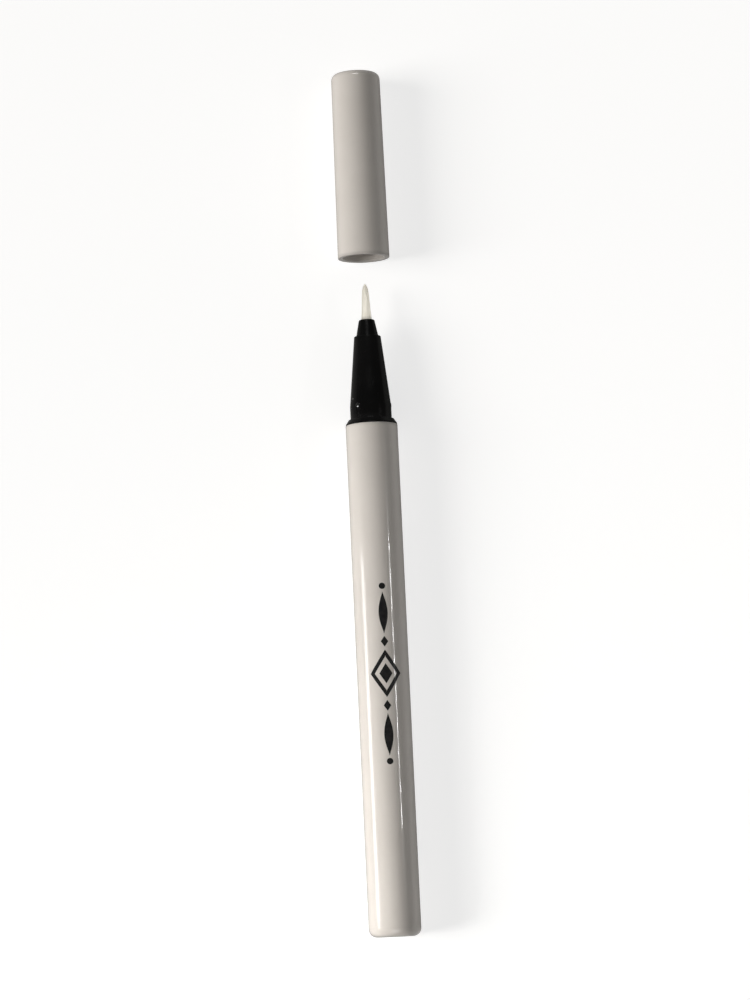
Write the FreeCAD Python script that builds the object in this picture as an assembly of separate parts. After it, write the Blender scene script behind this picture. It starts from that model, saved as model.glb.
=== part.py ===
"""Liquid eyeliner pen with its cap pulled straight off, lying along +Y.

The origin is the centre of the flat tail face. +Y runs along the pen's axis towards the brush tip, +Z is up.
Every turned piece is an outline in (radius, y), revolved about the Y axis. All sizes are in millimetres.
"""

import FreeCAD, Part

import math
import os

from FreeCAD import Vector

# Barrel and tail plug
BARREL_RADIUS = 5.0
BARREL_WALL = 0.85
BARREL_LENGTH = 96.4
TAIL_HEAD_THICKNESS = 1.6
TAIL_EDGE_ROUND = 1.55
TAIL_SPIGOT_LENGTH = 7.4
TAIL_SPIGOT_WALL = 0.9

# Small chamfer on the open edges of the mouldings
EDGE_BREAK = 0.15

# How outlines are drawn: the flatness of the chords in a round, and the slope below which a taper is slight
ROUND_FLATNESS = 0.03
SLIGHT_TAPER = 0.02

# Snap rings that lock the tail plug and the section into the barrel
SNAP_HEIGHT = 0.12
SNAP_WIDTH = 0.9
SNAP_SETBACK = 3.0

# Section: the black front sleeve with the collar that shows as a ring when the pen is closed
COLLAR_THICKNESS = 1.1
COLLAR_SET_IN = 0.05
COLLAR_CHAMFER = 0.6
COLLAR_LAND = 0.2
CAP_SEAT_RADIUS = 3.97
CAP_SEAT_LENGTH = 2.5
CONE_LENGTH = 13.7
CONE_TIP_RADIUS = 2.57
SKIRT_LENGTH = 21.0
SKIRT_WALL = 0.8
COLLECTOR_SHOULDER = 0.75

# Nib holder: the small black nose that clamps the brush
HOLDER_HEAD_LENGTH = 3.25
HOLDER_BASE_RADIUS = 2.15
HOLDER_TOP_RADIUS = 1.5
HOLDER_TOP_ROUND = 0.35
HOLDER_SPIGOT_RADIUS = 1.9
HOLDER_SPIGOT_LENGTH = 7.0

# Brush tip: a bundle of filaments, fused at its root
TIP_LENGTH = 7.1
TIP_ROOT_RADIUS = 1.05
TIP_THROAT_LENGTH = 1.5
TIP_THROAT_RADIUS = 0.88
TIP_POINT_RADIUS = 0.5
TIP_POINT_ROUND = 0.42
TIP_FLANGE_RADIUS = 1.4
TIP_FLANGE_THICKNESS = 0.8

# Feed: the fibre core, the comb collector around it, and the tank's stopper
CORE_RADIUS = 0.8
CORE_DIP = 5.0
STEM_WALL = 0.7
FIN_COUNT = 8
FIN_THICKNESS = 0.6
FIN_CLEARANCE = 0.1
COLLECTOR_DISC_THICKNESS = 1.2
AIR_CHANNEL_WIDTH = 0.7
INK_SLIT_WIDTH = 0.25
STOPPER_DEPTH = 6.0
STOPPER_FLANGE_THICKNESS = 1.2
VENT_RADIUS = 0.3

# Ink tank and the ball that stirs the ink when the pen is shaken
TANK_RADIUS = 3.4
TANK_WALL = 0.7
TANK_END_THICKNESS = 1.2
TANK_RIB_COUNT = 4
TANK_RIB_WIDTH = 0.8
TANK_RIB_CLEARANCE = 0.1
BALL_RADIUS = 1.5
BALL_CLEARANCE = 0.1

# Cap and its sealing liner
CAP_LENGTH = 36.4
CAP_END_RADIUS = 4.7
CAP_END_ROUND = 1.3
CAP_END_WALL = 1.8
CAP_MOUTH_CHAMFER = 0.2
CAP_SEAT_CLEARANCE = 0.07
CAP_STOP_CLEARANCE = 0.05
LINER_DEPTH = 11.0
LINER_RADIUS = 3.7
LINER_END_THICKNESS = 1.0
LINER_SEAL_LENGTH = 1.5
LINER_SEAL_CLEARANCE = 0.08
CAP_PULLED_CLEAR = 5.0

# Stations along the pen, worked out from the sizes above
BARREL_REAR = TAIL_HEAD_THICKNESS
BARREL_FRONT = BARREL_REAR + BARREL_LENGTH
COLLAR_FRONT = BARREL_FRONT + COLLAR_THICKNESS
CONE_REAR = COLLAR_FRONT + CAP_SEAT_LENGTH
CONE_FRONT = CONE_REAR + CONE_LENGTH
HOLDER_REAR = CONE_FRONT - HOLDER_SPIGOT_LENGTH
HOLDER_FRONT = CONE_FRONT + HOLDER_HEAD_LENGTH
TIP_POINT = HOLDER_FRONT + TIP_LENGTH
FEED_FRONT = HOLDER_REAR - TIP_FLANGE_THICKNESS
SKIRT_REAR = BARREL_FRONT - SKIRT_LENGTH
COLLECTOR_FRONT = COLLAR_FRONT
COLLECTOR_REAR = SKIRT_REAR
TANK_FRONT = COLLECTOR_REAR - STOPPER_FLANGE_THICKNESS
TANK_REAR = BARREL_REAR + TAIL_SPIGOT_LENGTH
CORE_REAR = TANK_FRONT - STOPPER_DEPTH - CORE_DIP

# Radii that mating pieces share
BORE_RADIUS = BARREL_RADIUS - BARREL_WALL
COLLAR_RADIUS = BARREL_RADIUS - COLLAR_SET_IN
SKIRT_BORE = BORE_RADIUS - SKIRT_WALL
STEM_RADIUS = CORE_RADIUS + STEM_WALL
TANK_BORE = TANK_RADIUS - TANK_WALL

# The cap's own stations, measured from its mouth when it is on the pen and when it is pulled off
CAP_SEATED = COLLAR_FRONT + CAP_STOP_CLEARANCE
CAP_OFF = TIP_POINT + CAP_PULLED_CLEAR
CAP_TRAVEL = CAP_OFF - CAP_SEATED

AXIS = Vector(0, 1, 0)
CENTRE = Vector(0, 0, 0)


def rounded_corner(before, corner, after, radius):
    """Points along an arc of that radius in the corner of an outline, spaced so that chords keep the flatness."""
    to_before = (before - corner).normalize()
    to_after = (after - corner).normalize()
    half_angle = to_before.getAngle(to_after) / 2
    centre = corner + (to_before + to_after).normalize() * (radius / math.sin(half_angle))
    reach = radius / math.tan(half_angle)
    start = corner + to_before * reach - centre
    end = corner + to_after * reach - centre
    turn = math.pi - 2 * half_angle
    chord_turn = 2 * math.acos(1 - ROUND_FLATNESS / radius)
    chords = math.ceil(turn / chord_turn)
    points = []
    for i in range(chords + 1):
        angle = turn * i / chords
        points.append(centre + (start * math.sin(turn - angle) + end * math.sin(angle)) / math.sin(turn))
    return points


def side(start, end):
    """A straight edge of an outline. A slight taper is a spline, whose turned face takes far fewer facets."""
    line = Part.LineSegment(start, end)
    slight = 1e-6 < abs(end.x - start.x) < SLIGHT_TAPER * abs(end.y - start.y)
    return line.toBSpline().toShape() if slight else line.toShape()


def outline_face(corners):
    """A flat face from corners (radius, y) or (radius, y, rounding), joined by straight edges."""
    points = [Vector(c[0], c[1], 0) for c in corners]
    path = []
    for i, corner in enumerate(corners):
        if len(corner) > 2:
            path += rounded_corner(points[i - 1], points[i], points[(i + 1) % len(points)], corner[2])
        else:
            path.append(points[i])
    steps = zip(path, path[1:] + path[:1])
    edges = [side(start, end) for start, end in steps if start.distanceToPoint(end) > 1e-6]
    return Part.Face(Part.Wire(edges))


def turned(corners):
    """The solid that an outline sweeps out in a full turn about the pen's axis."""
    return outline_face(corners).revolve(CENTRE, AXIS, 360)


def bar(width, height, rear, front, low):
    """A straight bar along the pen, centred on X, standing from z = low upwards."""
    return Part.makeBox(width, front - rear, height, Vector(-width / 2, rear, low))


def around(shape, count):
    """Copies of a shape, spaced evenly about the pen's axis."""
    turns = [shape.copy() for _ in range(count)]
    for i, turn in enumerate(turns):
        turn.rotate(CENTRE, AXIS, 360 * i / count)
    return turns


def snap_ring(radius, middle):
    """Corners of a low ridge on a wall of that radius, from its rear foot to its front foot."""
    half = SNAP_WIDTH / 2
    return [(radius, middle - half), (radius + SNAP_HEIGHT, middle), (radius, middle + half)]


def cone_radius(y):
    """The section's outer radius at a station on its cone."""
    share = (y - CONE_REAR) / CONE_LENGTH
    return CAP_SEAT_RADIUS + (CONE_TIP_RADIUS - CAP_SEAT_RADIUS) * share


TAIL_SNAP = BARREL_REAR + SNAP_SETBACK
SECTION_SNAP = BARREL_FRONT - SNAP_SETBACK


def barrel():
    """The white outer tube, with a groove at each end for the snap rings."""
    return turned(
        [
            (BORE_RADIUS, BARREL_REAR),
            *snap_ring(BORE_RADIUS, TAIL_SNAP),
            *snap_ring(BORE_RADIUS, SECTION_SNAP),
            (BORE_RADIUS, BARREL_FRONT),
            (BARREL_RADIUS - EDGE_BREAK, BARREL_FRONT),
            (BARREL_RADIUS, BARREL_FRONT - EDGE_BREAK),
            (BARREL_RADIUS, BARREL_REAR),
        ]
    )


def tail_plug():
    """The end cap: a rounded head flush with the barrel, on a hollow spigot that snaps into the bore."""
    hollow = BORE_RADIUS - TAIL_SPIGOT_WALL
    return turned(
        [
            (0, 0),
            (BARREL_RADIUS, 0, TAIL_EDGE_ROUND),
            (BARREL_RADIUS, BARREL_REAR),
            (BORE_RADIUS, BARREL_REAR),
            *snap_ring(BORE_RADIUS, TAIL_SNAP),
            (BORE_RADIUS, TANK_REAR),
            (hollow, TANK_REAR),
            (hollow, BARREL_REAR),
            (0, BARREL_REAR),
        ]
    )


def ink_tank():
    """A blind tube with a foot that stands on the tail plug, and ribs that centre it in the barrel."""
    foot_radius = BORE_RADIUS - TANK_RIB_CLEARANCE
    floor = TANK_REAR + TANK_END_THICKNESS
    tube = turned(
        [
            (0, TANK_REAR),
            (foot_radius, TANK_REAR),
            (foot_radius, floor),
            (TANK_RADIUS, floor),
            (TANK_RADIUS, TANK_FRONT),
            (TANK_BORE, TANK_FRONT),
            (TANK_BORE, floor),
            (0, floor),
        ]
    )
    rib_low = (TANK_BORE + TANK_RADIUS) / 2
    rib_front = TANK_FRONT - SNAP_SETBACK
    rib = bar(TANK_RIB_WIDTH, foot_radius - rib_low, TANK_REAR, rib_front, rib_low)
    ribs = Part.makeCompound(around(rib, TANK_RIB_COUNT))
    envelope = Part.makeCylinder(foot_radius, rib_front - TANK_REAR, Vector(0, TANK_REAR, 0), AXIS)
    return tube.fuse(ribs.common(envelope)).removeSplitter()


def tank_stopper():
    """The soft plug that closes the tank's mouth, with a hole for the fibre core and a small vent."""
    spigot_rear = TANK_FRONT - STOPPER_DEPTH
    plug = turned(
        [
            (CORE_RADIUS, spigot_rear),
            (TANK_BORE, spigot_rear),
            (TANK_BORE, TANK_FRONT),
            (TANK_RADIUS, TANK_FRONT),
            (TANK_RADIUS, COLLECTOR_REAR),
            (CORE_RADIUS, COLLECTOR_REAR),
        ]
    )
    vent_offset = (CORE_RADIUS + TANK_BORE) / 2
    length = STOPPER_DEPTH + STOPPER_FLANGE_THICKNESS
    return plug.cut(Part.makeCylinder(VENT_RADIUS, length, Vector(0, spigot_rear, vent_offset), AXIS))


def slot(width, rear, front):
    """A cutter for a channel of that width along the collector, as deep as the chord of its stem."""
    low = math.sqrt(STEM_RADIUS**2 - (width / 2) ** 2)
    return bar(width, SKIRT_BORE - low, rear, front, low)


def collector():
    """The comb that holds surplus ink: thin fins on a hollow stem, cut by an air channel and an ink slit."""
    fin_radius = SKIRT_BORE - FIN_CLEARANCE
    comb_rear = COLLECTOR_REAR + COLLECTOR_DISC_THICKNESS
    comb_front = COLLECTOR_FRONT - COLLECTOR_DISC_THICKNESS
    gap = (comb_front - comb_rear - FIN_COUNT * FIN_THICKNESS) / (FIN_COUNT + 1)
    corners = [(CORE_RADIUS, COLLECTOR_REAR), (SKIRT_BORE, COLLECTOR_REAR), (SKIRT_BORE, comb_rear)]
    for i in range(FIN_COUNT):
        rear = comb_rear + gap + i * (gap + FIN_THICKNESS)
        front = rear + FIN_THICKNESS
        corners += [(STEM_RADIUS, rear - gap), (STEM_RADIUS, rear), (fin_radius, rear), (fin_radius, front)]
    corners += [
        (STEM_RADIUS, comb_front - gap),
        (STEM_RADIUS, comb_front),
        (SKIRT_BORE, comb_front),
        (SKIRT_BORE, COLLECTOR_FRONT),
        (STEM_RADIUS, COLLECTOR_FRONT),
        (STEM_RADIUS, FEED_FRONT),
        (CORE_RADIUS, FEED_FRONT),
    ]
    comb = turned(corners)
    air_channel = slot(AIR_CHANNEL_WIDTH, COLLECTOR_REAR, COLLECTOR_FRONT)
    ink_slit = slot(INK_SLIT_WIDTH, comb_rear, comb_front)
    ink_slit.rotate(CENTRE, AXIS, 180)
    return comb.cut(air_channel).cut(ink_slit)


def fibre_core():
    """The rod of bonded fibre that draws ink from the tank to the root of the brush."""
    return Part.makeCylinder(CORE_RADIUS, FEED_FRONT - CORE_REAR, Vector(0, CORE_REAR, 0), AXIS)


def section():
    """The black front sleeve: skirt in the barrel, collar, cap seat, long cone and stepped bore."""
    chamfer_foot = BARREL_FRONT + COLLAR_LAND
    front_bore = SKIRT_BORE - COLLECTOR_SHOULDER
    return turned(
        [
            (SKIRT_BORE, SKIRT_REAR),
            (BORE_RADIUS, SKIRT_REAR),
            *snap_ring(BORE_RADIUS, SECTION_SNAP),
            (BORE_RADIUS, BARREL_FRONT),
            (COLLAR_RADIUS, BARREL_FRONT),
            (COLLAR_RADIUS, chamfer_foot),
            (COLLAR_RADIUS - COLLAR_CHAMFER, COLLAR_FRONT),
            (CAP_SEAT_RADIUS, COLLAR_FRONT),
            (CAP_SEAT_RADIUS, CONE_REAR),
            (CONE_TIP_RADIUS, CONE_FRONT - EDGE_BREAK),
            (CONE_TIP_RADIUS - EDGE_BREAK, CONE_FRONT),
            (HOLDER_SPIGOT_RADIUS, CONE_FRONT),
            (HOLDER_SPIGOT_RADIUS, HOLDER_REAR),
            (front_bore, HOLDER_REAR),
            (front_bore, COLLECTOR_FRONT),
            (SKIRT_BORE, COLLECTOR_FRONT),
        ]
    )


def nib_holder():
    """The black nose: a tapered head on the section's front face, with a spigot pressed into the bore."""
    return turned(
        [
            (TIP_ROOT_RADIUS, HOLDER_REAR),
            (HOLDER_SPIGOT_RADIUS, HOLDER_REAR),
            (HOLDER_SPIGOT_RADIUS, CONE_FRONT),
            (HOLDER_BASE_RADIUS, CONE_FRONT),
            (HOLDER_TOP_RADIUS, HOLDER_FRONT, HOLDER_TOP_ROUND),
            (TIP_ROOT_RADIUS, HOLDER_FRONT),
        ]
    )


def brush_tip():
    """The filament bundle: a fused flange behind the nib holder, a root, a throat and a slim blunt point."""
    return turned(
        [
            (0, FEED_FRONT),
            (TIP_FLANGE_RADIUS, FEED_FRONT),
            (TIP_FLANGE_RADIUS, HOLDER_REAR),
            (TIP_ROOT_RADIUS, HOLDER_REAR),
            (TIP_ROOT_RADIUS, HOLDER_FRONT),
            (TIP_THROAT_RADIUS, HOLDER_FRONT + TIP_THROAT_LENGTH),
            (TIP_POINT_RADIUS, TIP_POINT, TIP_POINT_ROUND),
            (0, TIP_POINT),
        ]
    )


def mixing_ball():
    """The loose steel ball, lying on the tank's wall at its tail end."""
    drop = TANK_BORE - BALL_RADIUS - BALL_CLEARANCE
    rear = TANK_REAR + TANK_END_THICKNESS + BALL_CLEARANCE
    return Part.makeSphere(BALL_RADIUS, Vector(0, rear + BALL_RADIUS, -drop))


def cap_shell():
    """The white cap: a tapered cup with a guide bore at its mouth and a seat for the liner behind it."""
    guide = CAP_SEAT_RADIUS + CAP_SEAT_CLEARANCE
    cap_end = CAP_OFF + CAP_LENGTH
    return turned(
        [
            (guide + CAP_MOUTH_CHAMFER, CAP_OFF),
            (BARREL_RADIUS - EDGE_BREAK, CAP_OFF),
            (BARREL_RADIUS, CAP_OFF + EDGE_BREAK),
            (CAP_END_RADIUS, cap_end, CAP_END_ROUND),
            (0, cap_end),
            (0, cap_end - CAP_END_WALL),
            (LINER_RADIUS, cap_end - CAP_END_WALL),
            (LINER_RADIUS, CAP_OFF + LINER_DEPTH),
            (guide, CAP_OFF + LINER_DEPTH),
            (guide, CAP_OFF + CAP_MOUTH_CHAMFER),
        ]
    )


def cap_liner():
    """The black inner cap: a cup pressed in up to the end wall, whose flared rim seals on the section's cone."""
    seal_rear = COLLAR_FRONT + LINER_DEPTH
    rim_radius = cone_radius(seal_rear) + LINER_SEAL_CLEARANCE
    bore_radius = cone_radius(seal_rear + LINER_SEAL_LENGTH) + LINER_SEAL_CLEARANCE
    rim = CAP_OFF + LINER_DEPTH
    end = CAP_OFF + CAP_LENGTH - CAP_END_WALL
    return turned(
        [
            (rim_radius, rim),
            (LINER_RADIUS, rim),
            (LINER_RADIUS, end),
            (0, end),
            (0, end - LINER_END_THICKNESS),
            (bore_radius, end - LINER_END_THICKNESS),
            (bore_radius, rim + LINER_SEAL_LENGTH),
        ]
    )


PIECES = [
    barrel,
    tail_plug,
    ink_tank,
    tank_stopper,
    collector,
    fibre_core,
    section,
    nib_holder,
    brush_tip,
    mixing_ball,
    cap_shell,
    cap_liner,
]


def main():
    os.makedirs("parts", exist_ok=True)
    for make in PIECES:
        shape = make()
        shape.exportStep(f"parts/{make.__name__}.step")
        box = shape.BoundBox
        span = f"y {box.YMin:.2f} to {box.YMax:.2f}"
        print(f"{make.__name__}: {shape.Volume:.2f} mm3, {span}, valid {shape.isValid()}")
    print(f"cap travel {CAP_TRAVEL:.3f} mm, closed length {CAP_SEATED + CAP_LENGTH:.2f} mm")


main()
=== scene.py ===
"""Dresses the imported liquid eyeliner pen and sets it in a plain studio.

The pen lies along +Y with its tail face at the origin, and its cap lies in line ahead of the brush.
Sizes are in millimetres here, and become metres when a mesh is made.
"""

import math

import bpy
import numpy as np
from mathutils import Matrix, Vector


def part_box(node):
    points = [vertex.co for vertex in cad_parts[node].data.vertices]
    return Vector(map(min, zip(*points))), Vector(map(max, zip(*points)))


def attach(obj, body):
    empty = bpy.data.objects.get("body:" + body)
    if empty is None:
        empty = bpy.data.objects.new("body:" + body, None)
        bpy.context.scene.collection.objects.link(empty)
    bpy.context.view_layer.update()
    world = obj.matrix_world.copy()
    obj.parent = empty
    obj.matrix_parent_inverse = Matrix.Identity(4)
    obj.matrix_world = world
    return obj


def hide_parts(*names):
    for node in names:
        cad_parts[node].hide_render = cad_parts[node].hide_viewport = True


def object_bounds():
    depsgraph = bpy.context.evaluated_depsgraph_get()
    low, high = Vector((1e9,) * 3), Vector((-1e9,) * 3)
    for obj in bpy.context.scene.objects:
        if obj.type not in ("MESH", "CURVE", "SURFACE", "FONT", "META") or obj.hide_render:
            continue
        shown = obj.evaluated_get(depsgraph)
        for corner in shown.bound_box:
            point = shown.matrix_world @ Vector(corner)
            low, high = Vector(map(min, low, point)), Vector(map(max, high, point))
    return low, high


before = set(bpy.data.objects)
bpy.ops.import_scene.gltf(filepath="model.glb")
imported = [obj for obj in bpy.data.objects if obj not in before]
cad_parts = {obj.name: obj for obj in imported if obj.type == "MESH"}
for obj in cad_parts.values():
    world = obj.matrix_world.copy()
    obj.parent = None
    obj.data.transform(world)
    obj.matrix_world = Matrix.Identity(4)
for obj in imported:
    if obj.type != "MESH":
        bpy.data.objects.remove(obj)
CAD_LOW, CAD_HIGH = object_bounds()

MM = 0.001
RANDOM_SEED = 41
RANDOM = np.random.default_rng(RANDOM_SEED)

# Fineness of the turned meshes
TURN_STEPS = 192
ROW_GAP = 2.5
GUARD_GAP = 0.06
WIDE_ROUND = 0.5
WIDE_ROUND_STEP = math.radians(5)
TIGHT_ROUND_STEP = math.radians(15)
LEAST_ARC_POINTS = 3
LEAST_SIDE = 1e-9
AXIS_RADIUS = 1e-6


def span(node):
    """Rear and front of a CAD node along the pen, in millimetres."""
    low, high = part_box(node)
    return low.y / MM, high.y / MM


def half_width(node):
    """Largest radius of a CAD node, in millimetres."""
    low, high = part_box(node)
    return (high.x - low.x) / 2 / MM


# Stations and radii read from the frame
BARREL_REAR, BARREL_FRONT = span("barrel")
TAIL_FACE, PLUG_FRONT = span("tail_plug")
SKIRT_REAR, CONE_FRONT = span("section")
HOLDER_REAR, HOLDER_FRONT = span("nib_holder")
BRUSH_REAR, BRUSH_POINT = span("brush_tip")
CAP_MOUTH, CAP_END = span("cap_shell")
LINER_RIM, LINER_END = span("cap_liner")
BARREL_RADIUS = half_width("barrel")
LINER_RADIUS = half_width("cap_liner")

# Radii and lengths that the frame's boxes don't give
BORE_RADIUS = 4.15
PLUG_HOLLOW = 3.25
SNAP_HEIGHT = 0.12
SNAP_WIDTH = 0.9
SNAP_SETBACK = 3.0
COLLAR_RADIUS = 4.95
COLLAR_THICKNESS = 1.1
COLLAR_CHAMFER = 0.6
COLLAR_LAND = 0.2
SEAT_RADIUS = 3.97
SEAT_LENGTH = 2.5
CONE_TIP_RADIUS = 2.57
SKIRT_BORE = 3.35
FRONT_BORE = 2.6
SPIGOT_RADIUS = 1.9
NOSE_BASE_RADIUS = 2.15
NOSE_TOP_RADIUS = 1.5
BRUSH_ROOT_RADIUS = 1.05
BRUSH_FLANGE_RADIUS = 1.4
GUIDE_RADIUS = 4.04
MOUTH_CHAMFER = 0.2
CAP_END_RADIUS = 4.7
CAP_END_WALL = 1.8
LINER_RIM_RADIUS = 3.18
LINER_BORE_RADIUS = 3.03
LINER_SEAL_LENGTH = 1.5
LINER_END_THICKNESS = 1.0

# Rounding of the moulded edges
TAIL_ROUND = 1.55
END_ROUND = 1.3
EDGE_ROUND = 0.14
SEAM_ROUND = 0.07
TAIL_SEAM_ROUND = 0.03
INNER_ROUND = 0.04
GATE_RADIUS = 0.7
GATE_BEVEL = 0.1
GATE_DEPTH = 0.07


def corner_arc(before, here, after, rounding):
    """Points of the arc in one corner of an outline.

    The arc touches both sides at rounding / tan(half angle) from the corner. Its centre lies on the
    bisector, at rounding / sin(half angle).
    """
    if not rounding:
        return here[None, :]
    to_before = (before - here) / np.linalg.norm(before - here)
    to_after = (after - here) / np.linalg.norm(after - here)
    half_angle = math.acos(np.clip(to_before @ to_after, -1, 1)) / 2
    bisector = (to_before + to_after) / np.linalg.norm(to_before + to_after)
    centre = here + bisector * rounding / math.sin(half_angle)
    start = here + to_before * rounding / math.tan(half_angle) - centre
    end = here + to_after * rounding / math.tan(half_angle) - centre
    turn = math.pi - 2 * half_angle
    step = WIDE_ROUND_STEP if rounding > WIDE_ROUND else TIGHT_ROUND_STEP
    count = max(LEAST_ARC_POINTS, math.ceil(turn / step) + 1)
    share = np.linspace(0, 1, count)[:, None]
    return centre + (np.sin((1 - share) * turn) * start + np.sin(share * turn) * end) / math.sin(turn)


def side_rows(start, end):
    """Points between two corners: one close to each, for flat shading, and even steps between."""
    length = np.linalg.norm(end - start)
    guard = min(GUARD_GAP, length / 4)
    count = max(2, math.ceil((length - 2 * guard) / ROW_GAP) + 1)
    inner = np.linspace(guard, length - guard, count)
    return start + (end - start) * (inner / max(length, LEAST_SIDE))[:, None]


def rounded_outline(corners):
    """Points (radius, y) along an outline of corners (radius, y, rounding), and whether it closes.

    An outline that starts and ends on the axis stays open there.
    """
    points = np.array([corner[:2] for corner in corners], float)
    closed = corners[0][0] > 0 or corners[-1][0] > 0
    before, after = np.roll(points, 1, axis=0), np.roll(points, -1, axis=0)
    arcs = [corner_arc(before[i], points[i], after[i], c[2]) for i, c in enumerate(corners)]
    rows = []
    for arc, following in zip(arcs, arcs[1:] + arcs[:1]):
        rows += [arc, side_rows(arc[-1], following[0])]
    return np.vstack(rows if closed else rows[:-1]), closed


def turned(corners):
    """Points and faces of a turned piece.

    Outline point (r, y) goes to (r sin a, y, r cos a) for every angle a of a full turn. A point on the
    axis stays one point. The sign of the outline's area says which way round its faces run, so that they
    point outwards.
    """
    outline, closed = rounded_outline(corners)
    radius, along = outline.T
    turn = np.linspace(0, 2 * math.pi, TURN_STEPS, endpoint=False)
    stations = np.repeat(along[:, None], TURN_STEPS, axis=1)
    across, up = np.outer(radius, np.sin(turn)), np.outer(radius, np.cos(turn))
    points = np.stack([across, stations, up], axis=-1)
    index = np.arange(radius.size * TURN_STEPS).reshape(radius.size, TURN_STEPS)
    on_axis = radius < AXIS_RADIUS
    index[on_axis] = index[on_axis, :1]
    near, beside = index, np.roll(index, -1, axis=1)
    next_beside, next_near = np.roll(beside, -1, axis=0), np.roll(near, -1, axis=0)
    quads = np.stack([near, beside, next_beside, next_near], axis=-1)
    quads = quads[: None if closed else -1].reshape(-1, 4)
    rear_fan, front_fan = quads[:, 0] == quads[:, 1], quads[:, 2] == quads[:, 3]
    fans = np.vstack([quads[rear_fan][:, [0, 2, 3]], quads[front_fan][:, [0, 1, 2]]])
    quads = quads[~(rear_fan | front_fan)]
    if np.sum(radius * np.roll(along, -1) - np.roll(radius, -1) * along) < 0:
        quads, fans = quads[:, ::-1], fans[:, ::-1]
    used, place = np.unique(np.concatenate([quads.ravel(), fans.ravel()]), return_inverse=True)
    quads = place[: quads.size].reshape(-1, 4)
    fans = place[quads.size :].reshape(-1, 3)
    return points.reshape(-1, 3)[used], quads.tolist() + fans.tolist()


def piece(name, shape, material, body, slot, *nodes):
    """Makes a piece from points in millimetres and faces.

    It gets its finish, its body and the nodes that it stands for. Its slot is not used.
    """
    points, faces = shape
    mesh = bpy.data.meshes.new(name)
    mesh.from_pydata((np.asarray(points) * MM).tolist(), [], faces)
    mesh.materials.append(material)
    mesh.shade_smooth()
    made = bpy.data.objects.new(name, mesh)
    bpy.context.scene.collection.objects.link(made)
    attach(made, body)
    if nodes:
        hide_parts(*nodes)
    return made


def snap_ring(radius, middle):
    """Corners of a low ridge on a wall of that radius, from its rear foot to its front foot."""
    return [
        (radius, middle - SNAP_WIDTH / 2, INNER_ROUND),
        (radius + SNAP_HEIGHT, middle, INNER_ROUND),
        (radius, middle + SNAP_WIDTH / 2, INNER_ROUND),
    ]


def gate_mark(face, depth):
    """Corners, from the axis outwards, of the dimple that the mould's inlet leaves in an end face."""
    return [
        (0, face + depth, 0),
        (GATE_RADIUS - GATE_BEVEL, face + depth, INNER_ROUND),
        (GATE_RADIUS, face, INNER_ROUND),
    ]


TAIL_SNAP = BARREL_REAR + SNAP_SETBACK
SECTION_SNAP = BARREL_FRONT - SNAP_SETBACK
COLLAR_FRONT = BARREL_FRONT + COLLAR_THICKNESS
CONE_REAR = COLLAR_FRONT + SEAT_LENGTH


def barrel_outline():
    """The white tube, with a groove at each end of its bore for the snap rings."""
    return [
        (BORE_RADIUS, BARREL_REAR, INNER_ROUND),
        *snap_ring(BORE_RADIUS, TAIL_SNAP),
        *snap_ring(BORE_RADIUS, SECTION_SNAP),
        (BORE_RADIUS, BARREL_FRONT, INNER_ROUND),
        (BARREL_RADIUS, BARREL_FRONT, EDGE_ROUND),
        (BARREL_RADIUS, BARREL_REAR, TAIL_SEAM_ROUND),
    ]


def tail_outline():
    """The tail plug: a rounded head with a gate mark, flush with the barrel, on a hollow spigot."""
    return [
        *gate_mark(TAIL_FACE, GATE_DEPTH),
        (BARREL_RADIUS, TAIL_FACE, TAIL_ROUND),
        (BARREL_RADIUS, BARREL_REAR, TAIL_SEAM_ROUND),
        (BORE_RADIUS, BARREL_REAR, INNER_ROUND),
        *snap_ring(BORE_RADIUS, TAIL_SNAP),
        (BORE_RADIUS, PLUG_FRONT, INNER_ROUND),
        (PLUG_HOLLOW, PLUG_FRONT, INNER_ROUND),
        (PLUG_HOLLOW, BARREL_REAR, INNER_ROUND),
        (0, BARREL_REAR, 0),
    ]


def sleeve_outline():
    """The black section: skirt in the barrel, bevelled collar, cap seat, long cone and stepped bore."""
    return [
        (SKIRT_BORE, SKIRT_REAR, INNER_ROUND),
        (BORE_RADIUS, SKIRT_REAR, INNER_ROUND),
        *snap_ring(BORE_RADIUS, SECTION_SNAP),
        (BORE_RADIUS, BARREL_FRONT, INNER_ROUND),
        (COLLAR_RADIUS, BARREL_FRONT, SEAM_ROUND),
        (COLLAR_RADIUS, BARREL_FRONT + COLLAR_LAND, EDGE_ROUND),
        (COLLAR_RADIUS - COLLAR_CHAMFER, COLLAR_FRONT, EDGE_ROUND),
        (SEAT_RADIUS, COLLAR_FRONT, EDGE_ROUND),
        (SEAT_RADIUS, CONE_REAR, END_ROUND),
        (CONE_TIP_RADIUS, CONE_FRONT, EDGE_ROUND),
        (SPIGOT_RADIUS, CONE_FRONT, INNER_ROUND),
        (SPIGOT_RADIUS, HOLDER_REAR, INNER_ROUND),
        (FRONT_BORE, HOLDER_REAR, INNER_ROUND),
        (FRONT_BORE, COLLAR_FRONT, INNER_ROUND),
        (SKIRT_BORE, COLLAR_FRONT, INNER_ROUND),
    ]


def nose_outline():
    """The black nose that clamps the brush: a tapered head with a rounded lip, on a spigot."""
    return [
        (BRUSH_ROOT_RADIUS, HOLDER_REAR, INNER_ROUND),
        (SPIGOT_RADIUS, HOLDER_REAR, INNER_ROUND),
        (SPIGOT_RADIUS, CONE_FRONT, INNER_ROUND),
        (NOSE_BASE_RADIUS, CONE_FRONT, INNER_ROUND),
        (NOSE_TOP_RADIUS, HOLDER_FRONT, EDGE_ROUND * 2),
        (BRUSH_ROOT_RADIUS, HOLDER_FRONT, SEAM_ROUND),
    ]


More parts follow.
